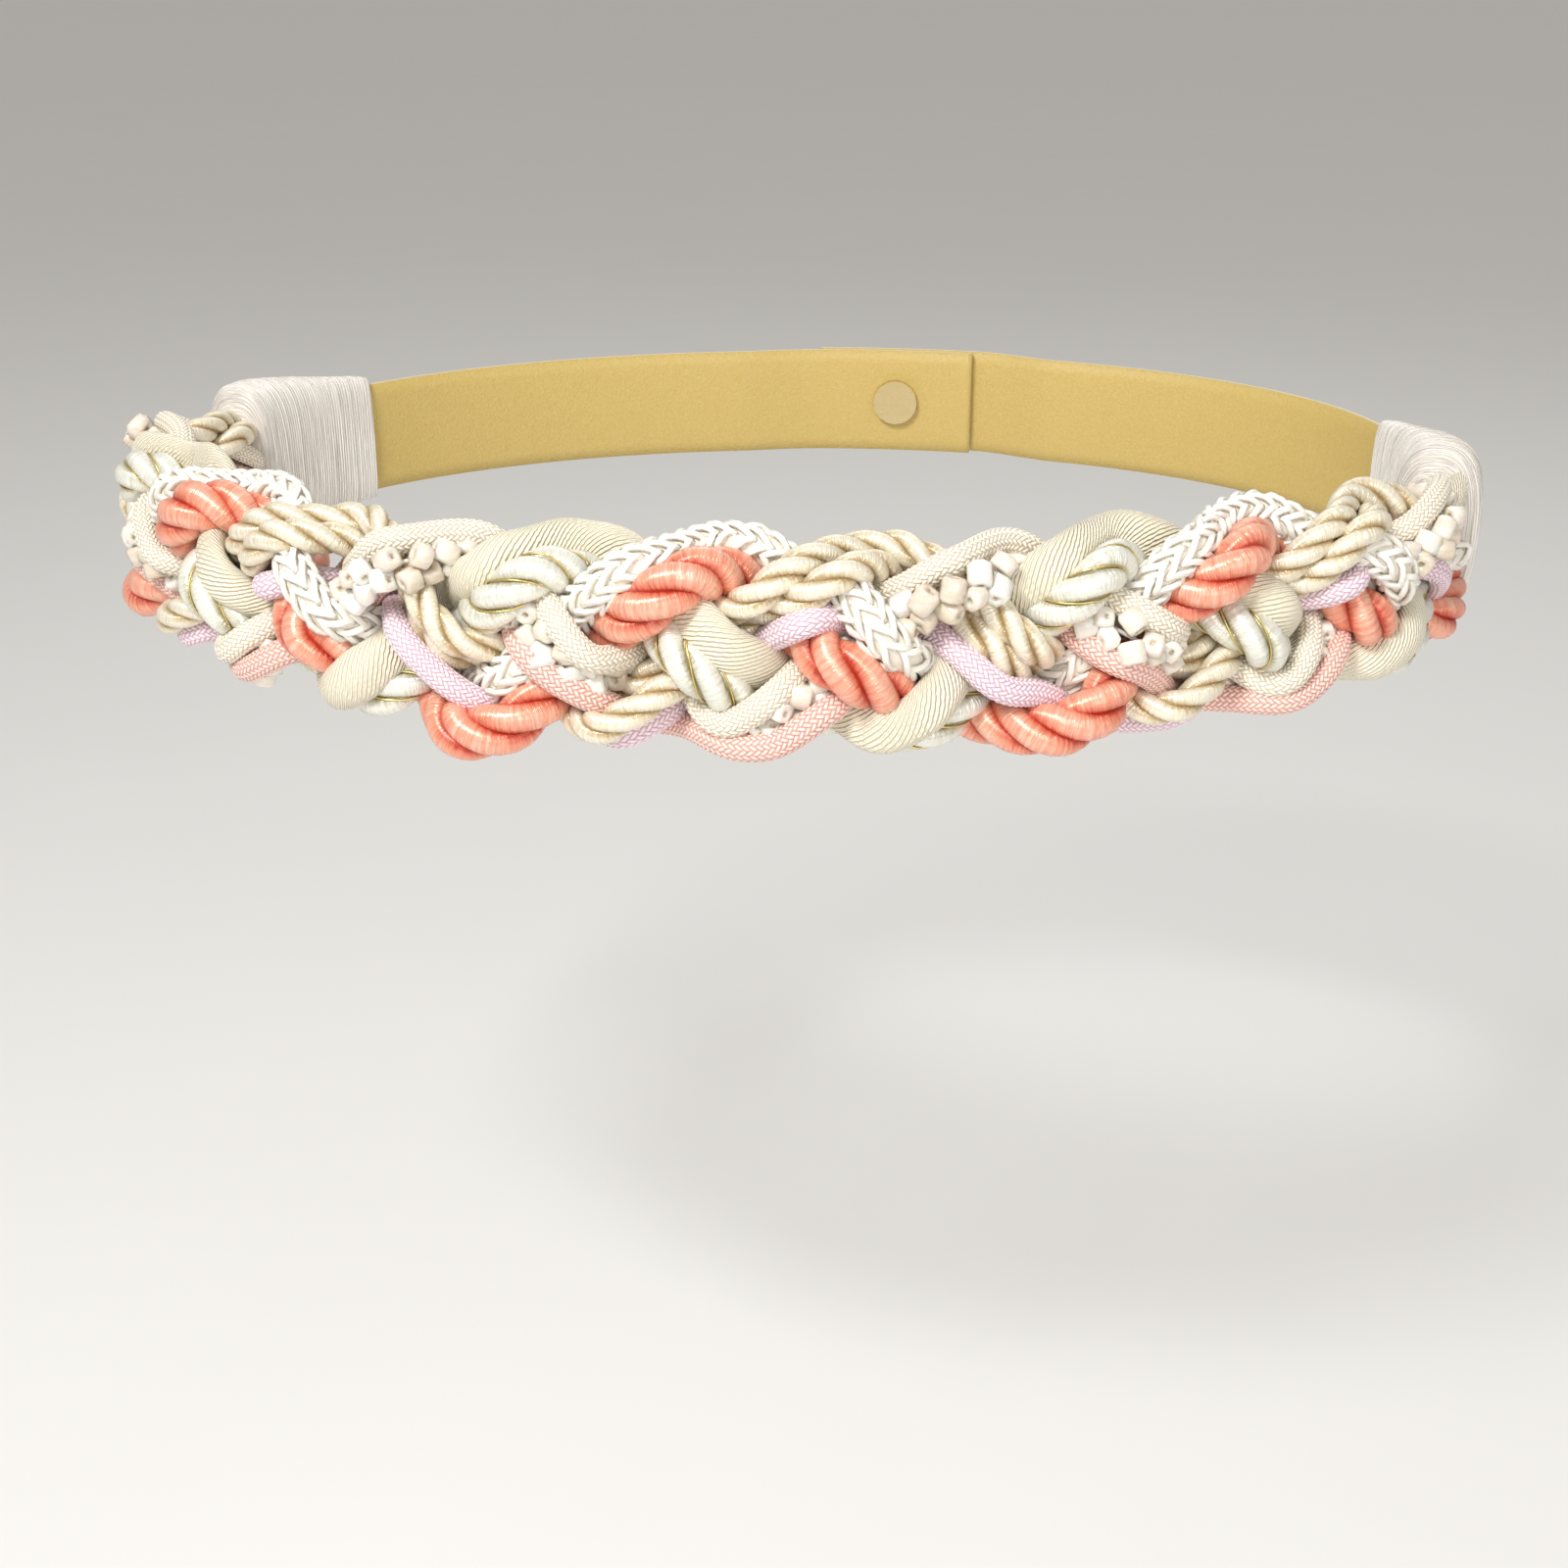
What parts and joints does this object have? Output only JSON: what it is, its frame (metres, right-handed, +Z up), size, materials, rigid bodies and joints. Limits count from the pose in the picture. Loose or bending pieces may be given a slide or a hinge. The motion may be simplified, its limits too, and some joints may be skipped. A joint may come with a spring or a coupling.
{
  "type": "rope belt",
  "caption": "Waist belt of satin ropes, braided cords, crochet cord and shell beads plaited flat, with wound ends and a plain strap closed round the back.",
  "frame": {"origin": "the middle of the waist that the belt closes round, at half the height of the belt", "axes": "+Z up along the waist, -Y towards the front of the belt, +X to the right of somebody who looks at its front"},
  "size_m": [0.3374, 0.2341, 0.0484],
  "materials": {
    "white_crochet": "soft sheen crochet cord",
    "coral_satin": "glossy rayon satin rope",
    "cream_twill": "matt twill",
    "silver_satin": "glossy rayon satin rope with a fine metallic thread",
    "champagne_satin": "glossy rayon satin rope",
    "lilac_braid": "soft sheen round braid",
    "beige_braid": "soft sheen round braid",
    "shell": "polished mother of pearl",
    "salmon_braid": "soft sheen round braid",
    "white_thread": "satin thread, wound",
    "strap_skin": "smooth, satin",
    "stud_metal": "polished"
  },
  "bodies": {
    "root": {"knit_cord": "white_crochet", "coral_rope": "coral_satin", "cream_tube": "cream_twill", "silver_rope": "silver_satin", "champagne_rope_upper": "champagne_satin", "champagne_rope_lower": "champagne_satin", "lilac_cord": "lilac_braid", "beige_cord": "beige_braid", "bead_string": "shell", "pink_cord": "salmon_braid", "winding_left": "white_thread", "winding_right": "white_thread", "strap_left": "strap_skin", "strap_right": "strap_skin", "back_stud": "stud_metal"}
  },
  "joints": []
}
